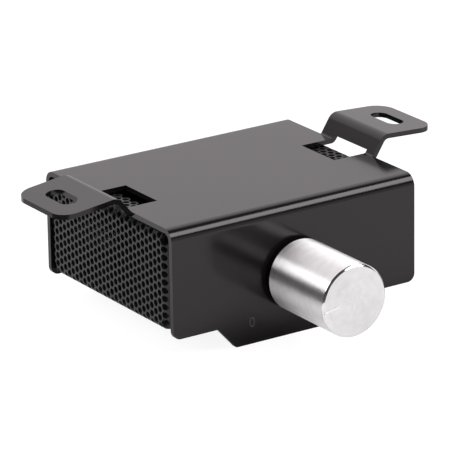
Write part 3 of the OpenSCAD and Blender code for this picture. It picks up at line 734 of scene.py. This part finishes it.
class LEVEL_OT_knob(bpy.types.Operator):
    """Turned knob with its filled pointer line"""
    bl_idname = "level.knob"
    bl_label = "Knob"

    def execute(self, context):
        props = context.scene.level_knob
        shell = eased("knob_shell", "turned_knob", props.edge, angle=math.radians(24))
        # Painted light and shade: the side's metal is made brighter and the end's a little darker than the
        # knob's colour, so that the side looks more brightly lit than the end
        side = turned_material(
            "Turned Side", toned(props.colour, 1.14), roughness=0.38, anisotropy=1.0, groove=0.02)
        end = turned_material(
            "Turned End", toned(props.colour, 0.96), roughness=0.42, anisotropy=0.5, groove=0.003)
        bright = turned_material(
            "Bright Edge", props.colour, roughness=0.13, anisotropy=0.3, groove=0.001)
        wear(shell, side, "knob", "knob_shell")
        shell.data.materials.append(end)
        shell.data.materials.append(bright)
        behind_chamfer = KNOB_LOW.y + props.chamfer * 1.1
        facing_front = -0.98
        for face in shell.data.polygons:
            if face.center.y < behind_chamfer:
                face.material_index = 1 if face.normal.y < facing_front else 2
        fill = grained("Pointer Fill", props.pointer, 0.5, grain=4000.0, depth=0.001, tone=0.03)
        pointer_fill(props, fill)
        return {"FINISHED"}


# Numbers printed on the front panel

FONT_SIZE_SHARE = 1.4  # of a digit's height
PRINT_T = 0.02 * MM


def ink_material(name, colour):
    """Dull grey ink."""
    return grained(name, colour, 0.5, grain=4000.0, depth=0.001, tone=0.2)


def printed(text, name, x, z, height, ink):
    """A number printed on the front panel, as a thin mesh."""
    curve = bpy.data.curves.new(name, "FONT")
    curve.body = text
    curve.align_x = "CENTER"
    curve.align_y = "CENTER"
    curve.size = height * FONT_SIZE_SHARE
    curve.extrude = PRINT_T / 2
    obj = link(bpy.data.objects.new(name + "_text", curve))
    piece = bake(obj, name)
    turn = Matrix.Rotation(math.radians(90), 4, "X")
    piece.data.transform(Matrix.Translation((x, FRONT_Y - PRINT_T / 2, z)) @ turn)
    piece.data.materials.clear()
    piece.data.materials.append(ink)
    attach(piece, "housing")


class LEVEL_OT_print(bpy.types.Operator):
    """Plain numbers at the two ends of the dial"""
    bl_idname = "level.print"
    bl_label = "Printed numbers"

    def execute(self, context):
        props = context.scene.level_print
        ink = ink_material("Dial Ink", props.ink)
        z = AXIS_Z - props.drop
        printed(props.low, "dial_low", -props.reach, z, props.height, ink)
        printed(props.high, "dial_high", props.reach, z, props.height, ink)
        return {"FINISHED"}


# Inner parts

SCREW_EDGE = 0.12 * MM
SOCKET_EDGE = 0.15 * MM


def coat(node, mat):
    """Gives a CAD node its material."""
    mesh = NODES[node].data
    mesh.materials.clear()
    mesh.materials.append(mat)
    for face in mesh.polygons:
        face.material_index = 0


def finishes():
    """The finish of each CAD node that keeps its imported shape."""
    steel = grained("Plated Steel", (0.62, 0.62, 0.60), 0.32, metallic=1.0)
    brass = grained("Plated Bush", (0.66, 0.62, 0.55), 0.3, metallic=1.0)
    moulding = grained("Black Moulding", (0.02, 0.02, 0.02), 0.5)
    return {
        "knob_core": moulding,
        "pot_shaft": grained("Shaft Metal", (0.7, 0.7, 0.69), 0.3, metallic=1.0),
        "pot_clip": grained("Spring Steel", (0.4, 0.4, 0.41), 0.28, metallic=1.0),
        "pot_bushing": brass,
        "pot_nut": brass,
        "pot_washer": steel,
        "pot_case": moulding,
        "pot_rotor": grained("Pale Moulding", (0.75, 0.72, 0.62), 0.45),
        "pot_wiper": grained("Spring Brass", (0.78, 0.55, 0.2), 0.3, metallic=1.0),
        "pot_track": grained("Paper Laminate", (0.25, 0.13, 0.05), 0.55, tone=0.25),
        "pot_bracket": steel,
        "pot_pins": steel,
        "circuit_board": grained("Solder Mask", (0.01, 0.012, 0.011), 0.35, tone=0.2),
        "jack_contacts": grained("Gold Flash", (0.83, 0.6, 0.22), 0.25, metallic=1.0),
        "capacitor": grained("Sleeve", (0.02, 0.03, 0.09), 0.35),
        "resistors": grained("Resistor Lacquer", (0.55, 0.35, 0.16), 0.35, tone=0.2),
    }


class LEVEL_OT_inner(bpy.types.Operator):
    """Screws, potentiometer, board, socket and the small parts"""
    bl_idname = "level.inner"
    bl_label = "Inner parts"

    def execute(self, context):
        screw = eased("tray_screws", "rear_screws", SCREW_EDGE)
        zinc = grained("Black Zinc", (0.05, 0.05, 0.052), 0.34, metallic=0.7)
        wear(screw, zinc, "housing", "tray_screws")
        housing = eased("jack_housing", "cable_socket", SOCKET_EDGE)
        plastic = grained("Socket Plastic", (0.022, 0.022, 0.022), 0.45)
        wear(housing, plastic, "housing", "jack_housing")
        for node, finish in finishes().items():
            coat(node, finish)
        return {"FINISHED"}


# Stage

# The room that the unit reflects: shares of the way from the front's horizon, over the top, to the back's,
# each with the brightness there
ROOM = (
    (0.0, 0.8), (0.08, 0.75), (0.13, 0.08), (0.55, 0.05), (0.60, 0.9),
    (0.67, 1.7), (0.78, 1.4), (0.87, 1.12), (1.0, 1.02))
# Where the ceiling is pale instead, in parts of a direction of length 1, and how bright it is there
PALE_X, PALE_Y = (0.38, 0.18), (-0.42, -0.20)
PALE_LEVEL = 1.1
# Where the room is dark low on the left, and the share of its brightness that this takes
LEFT_X, LEFT_Z = (-0.15, -0.45), (0.45, 0.30)
LEFT_LOSS = 0.88
# The room's colour in reflections
ROOM_TINT = (1.0, 0.95, 0.965)

# Where the floor is dark in reflections, each with the share of its brightness that this takes: far to the
# left, and beside the front tab, where a shadow of the unit and its knob is painted on the floor
FAR_X = (-92 * MM, -112 * MM)
FAR_LOSS = 0.9
TAB_SHADOW_X = (-24 * MM, -12 * MM)
TAB_SHADOW_Y = (FRONT_Y - 18 * MM, FRONT_Y - 2 * MM)
TAB_SHADOW_LOSS = 0.6
# The floor's own light and its colour, in reflections and to the camera
FLOOR_GLOW, FLOOR_GLOW_SEEN = 0.24, 0.9
FLOOR_TONE, FLOOR_TONE_SEEN = 0.7, 0.2
FLOOR_HALF = 3.0

# Softboxes: direction, size and radiance
SOFTBOXES = {
    "Overhead": ((0.52, -0.47, 0.71), (0.6, 0.32), 6.5),
    "Side": ((-0.80, -0.05, 0.60), (0.7, 0.36), 3.0),
}
SOFTBOX_DISTANCE = 0.8

# Width of the camera's sensor in millimetres
SENSOR_WIDTH = 36
# Height of the cover's flat top: the ears rise above it
TOP_Z = 32 * MM


def studio_world():
    """White to the camera. In reflections, a pale room with a ceiling that is dark in front and on the
    right, and with a dark wall low on the left."""
    world = bpy.data.worlds.new("Studio")
    world.use_nodes = True
    tree = world.node_tree
    tree.nodes.clear()
    way = put(tree, "ShaderNodeTexCoord").outputs["Generated"]
    x, y, z = put(tree, "ShaderNodeSeparateXYZ", inputs={0: way}).outputs
    over = sum_node(tree, "ARCTAN2", z, sum_node(tree, "MULTIPLY", y, -1.0))
    over = sum_node(tree, "DIVIDE", over, math.pi)
    room = tree.nodes.new("ShaderNodeValToRGB")
    steps = room.color_ramp.elements
    while len(steps) < len(ROOM):
        steps.new(0.5)
    for step, (place, shine) in zip(steps, ROOM):
        step.position = place
        step.color = (shine, shine, shine, 1)
    tree.links.new(over, room.inputs[0])
    pale = sum_node(tree, "MULTIPLY", fade(tree, x, PALE_X), fade(tree, y, PALE_Y))
    lit = sum_node(tree, "MAXIMUM", room.outputs["Color"], sum_node(tree, "MULTIPLY", pale, PALE_LEVEL))
    left = sum_node(tree, "MULTIPLY", fade(tree, x, LEFT_X), fade(tree, z, LEFT_Z))
    level = sum_node(tree, "MULTIPLY", lit, dimmed(tree, left, LEFT_LOSS))
    seen = put(tree, "ShaderNodeLightPath").outputs["Is Camera Ray"]
    strength = put(tree, "ShaderNodeMix", data_type="FLOAT")
    tree.links.new(seen, strength.inputs["Factor"])
    tree.links.new(level, strength.inputs["A"])
    strength.inputs["B"].default_value = 1.0
    back = put(tree, "ShaderNodeBackground", inputs={
        "Color": two_tone(tree, seen, ROOM_TINT, (1, 1, 1)), "Strength": strength.outputs["Result"]})
    out = tree.nodes.new("ShaderNodeOutputWorld")
    tree.links.new(back.outputs[0], out.inputs[0])
    bpy.context.scene.world = world


def floor_material():
    """Pale floor: nearly white to the camera, a little brighter where light falls on it, and grey in
    reflections."""
    mat = bpy.data.materials.new("Floor")
    mat.use_nodes = True
    tree = mat.node_tree
    tree.nodes.clear()
    place = put(tree, "ShaderNodeTexCoord").outputs["Object"]
    x, y, _ = put(tree, "ShaderNodeSeparateXYZ", inputs={0: place}).outputs
    far = fade(tree, x, FAR_X)
    # Painted shadow of the unit and its knob on the floor beside the front tab, seen only in reflections
    tab_shadow = sum_node(tree, "MULTIPLY", fade(tree, y, TAB_SHADOW_Y), fade(tree, x, TAB_SHADOW_X))
    kept = sum_node(tree, "MULTIPLY", dimmed(tree, far, FAR_LOSS), dimmed(tree, tab_shadow, TAB_SHADOW_LOSS))
    seen = put(tree, "ShaderNodeLightPath").outputs["Is Camera Ray"]
    strength = ramp(tree, seen, sum_node(tree, "MULTIPLY", kept, FLOOR_GLOW), FLOOR_GLOW_SEEN)
    glow = put(tree, "ShaderNodeEmission", inputs={"Strength": strength})
    grey = ramp(tree, seen, sum_node(tree, "MULTIPLY", kept, FLOOR_TONE), FLOOR_TONE_SEEN)
    matt = put(tree, "ShaderNodeBsdfDiffuse", inputs={"Color": grey})
    both = put(tree, "ShaderNodeAddShader")
    tree.links.new(glow.outputs[0], both.inputs[0])
    tree.links.new(matt.outputs[0], both.inputs[1])
    out = tree.nodes.new("ShaderNodeOutputMaterial")
    tree.links.new(both.outputs[0], out.inputs[0])
    return mat


def softbox(name, way, size, radiance):
    """A lamp in the given direction that faces the unit, as bright as the radiance says."""
    lamp = bpy.data.lights.new(name, "AREA")
    lamp.shape = "RECTANGLE"
    lamp.size, lamp.size_y = size
    lamp.energy = radiance * math.pi * size[0] * size[1]
    obj = link(bpy.data.objects.new(name, lamp))
    way = Vector(way).normalized()
    obj.location = way * SOFTBOX_DISTANCE
    obj.rotation_mode = "QUATERNION"
    obj.rotation_quaternion = way.to_track_quat("Z", "Y")


def photo_camera(props):
    """The camera at the photograph's viewing angle."""
    az, el = props.azimuth, props.elevation
    back = Vector((math.sin(az) * math.cos(el), -math.cos(az) * math.cos(el), math.sin(el)))
    right = Vector((math.cos(az), math.sin(az), 0))
    up = back.cross(right)
    right_r = math.cos(props.roll) * right + math.sin(props.roll) * up
    up_r = math.cos(props.roll) * up - math.sin(props.roll) * right
    aim = Vector(props.aim) + Vector((0, FRONT_Y, TOP_Z))
    camera = bpy.data.cameras.new("Camera")
    camera.lens = props.lens
    camera.sensor_width = SENSOR_WIDTH
    camera.clip_start = 10 * MM
    obj = link(bpy.data.objects.new("Camera", camera))
    turn = Matrix((right_r, up_r, back)).transposed().to_4x4()
    place = aim + props.slide[0] * right_r + props.slide[1] * up_r + props.distance * back
    obj.matrix_world = Matrix.Translation(place) @ turn
    bpy.context.scene.camera = obj


class LEVEL_OT_stage(bpy.types.Operator):
    """Camera, pale floor and soft studio light"""
    bl_idname = "level.stage"
    bl_label = "Stage"

    def execute(self, context):
        context.scene.view_settings.view_transform = "Standard"
        studio_world()
        photo_camera(context.scene.level_stage)
        mesh = bpy.data.meshes.new("floor")
        corners = [(x * FLOOR_HALF, y * FLOOR_HALF, 0) for x, y in ((-1, -1), (1, -1), (1, 1), (-1, 1))]
        mesh.from_pydata(corners, [], [(0, 1, 2, 3)])
        mesh.materials.append(floor_material())
        floor = link(bpy.data.objects.new("floor", mesh))
        for name, (way, size, radiance) in SOFTBOXES.items():
            softbox(name, way, size, radiance)
        return {"FINISHED"}


class LEVEL_PT_panel(bpy.types.Panel):
    """Buttons that make the level control's pieces"""
    bl_idname = "LEVEL_PT_panel"
    bl_label = "Level Control"
    bl_space_type = "VIEW_3D"
    bl_region_type = "UI"
    bl_category = "Level Control"

    def draw(self, context):
        for operator in OPERATORS:
            self.layout.operator(operator.bl_idname)
        for name in PROPS:
            box = self.layout.box()
            group_of = getattr(context.scene, name)
            for key in group_of.bl_rna.properties.keys():
                if key not in {"rna_type", "name"}:
                    box.prop(group_of, key)


OPERATORS = (LEVEL_OT_stage, LEVEL_OT_cover, LEVEL_OT_tray, LEVEL_OT_knob, LEVEL_OT_print, LEVEL_OT_inner)
PROPS = {
    "level_cover": CoverProps,
    "level_tray": TrayProps,
    "level_knob": KnobProps,
    "level_print": PrintProps,
    "level_stage": StageProps,
}


def register():
    for cls in (*PROPS.values(), *OPERATORS, LEVEL_PT_panel):
        bpy.utils.register_class(cls)
    for name, cls in PROPS.items():
        setattr(bpy.types.Scene, name, PointerProperty(type=cls))


def unregister():
    for name in PROPS:
        delattr(bpy.types.Scene, name)
    for cls in reversed((*PROPS.values(), *OPERATORS, LEVEL_PT_panel)):
        bpy.utils.unregister_class(cls)


def main():
    register()
    bpy.ops.level.stage()
    bpy.ops.level.cover()
    bpy.ops.level.tray()
    bpy.ops.level.knob()
    bpy.ops.level.print()
    bpy.ops.level.inner()


if __name__ == "__main__":
    main()
